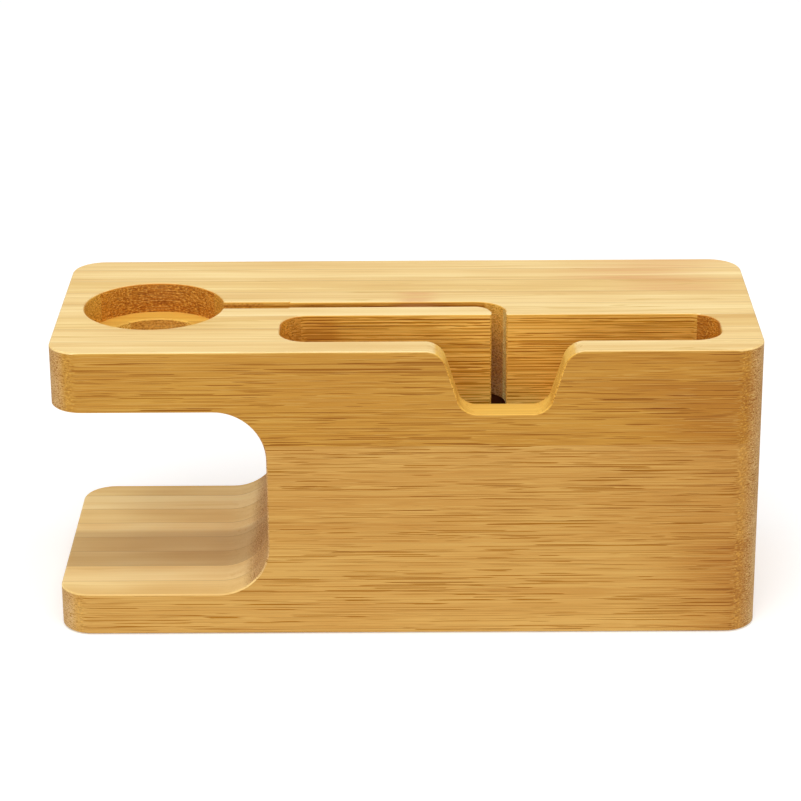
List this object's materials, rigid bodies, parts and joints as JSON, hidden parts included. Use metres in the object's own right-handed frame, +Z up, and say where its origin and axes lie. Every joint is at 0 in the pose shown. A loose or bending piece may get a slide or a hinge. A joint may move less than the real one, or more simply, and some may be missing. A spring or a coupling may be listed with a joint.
{
  "type": "charging station organizer",
  "caption": "Milled bamboo desk stand: a slot with a thumb notch holds a phone upright, and an arm over a shelf holds a watch charger, with cable ways below.",
  "frame": {"origin": "middle of the underside, on the surface that the stand rests on", "axes": "+X to the right along the stand, from the tip of the watch arm to the solid end; +Y to the back, away from the thumb notch; +Z up"},
  "size_m": [0.15, 0.06, 0.0645],
  "materials": {
    "bamboo_pale": "satin, clear oiled",
    "bamboo_honey": "satin, clear oiled",
    "bamboo_tan": "satin, clear oiled"
  },
  "bodies": {
    "root": {"bottom_strip_1": "bamboo_honey", "bottom_strip_2": "bamboo_pale", "bottom_strip_3_left": "bamboo_tan", "bottom_strip_3_right": "bamboo_tan", "bottom_strip_4_left": "bamboo_tan", "bottom_strip_4_right": "bamboo_tan", "bottom_strip_5": "bamboo_pale", "bottom_strip_6": "bamboo_honey", "bottom_strip_7": "bamboo_pale", "bottom_strip_8": "bamboo_honey", "middle_strip_1": "bamboo_honey", "middle_strip_2": "bamboo_honey", "middle_strip_3_left": "bamboo_pale", "middle_strip_3_right": "bamboo_pale", "middle_strip_4_left": "bamboo_honey", "middle_strip_4_right": "bamboo_honey", "middle_strip_5": "bamboo_tan", "middle_strip_6": "bamboo_pale", "middle_strip_7": "bamboo_tan", "middle_strip_8": "bamboo_honey", "top_strip_1": "bamboo_pale", "top_strip_2_left": "bamboo_pale", "top_strip_2_right": "bamboo_pale", "top_strip_3_left": "bamboo_honey", "top_strip_3_right": "bamboo_honey", "top_strip_4_tip": "bamboo_pale", "top_strip_4_left": "bamboo_pale", "top_strip_4_right": "bamboo_pale", "top_strip_5_tip": "bamboo_pale", "top_strip_5_main": "bamboo_pale", "top_strip_6": "bamboo_honey", "top_strip_7": "bamboo_pale", "top_strip_8": "bamboo_pale"}
  },
  "joints": []
}
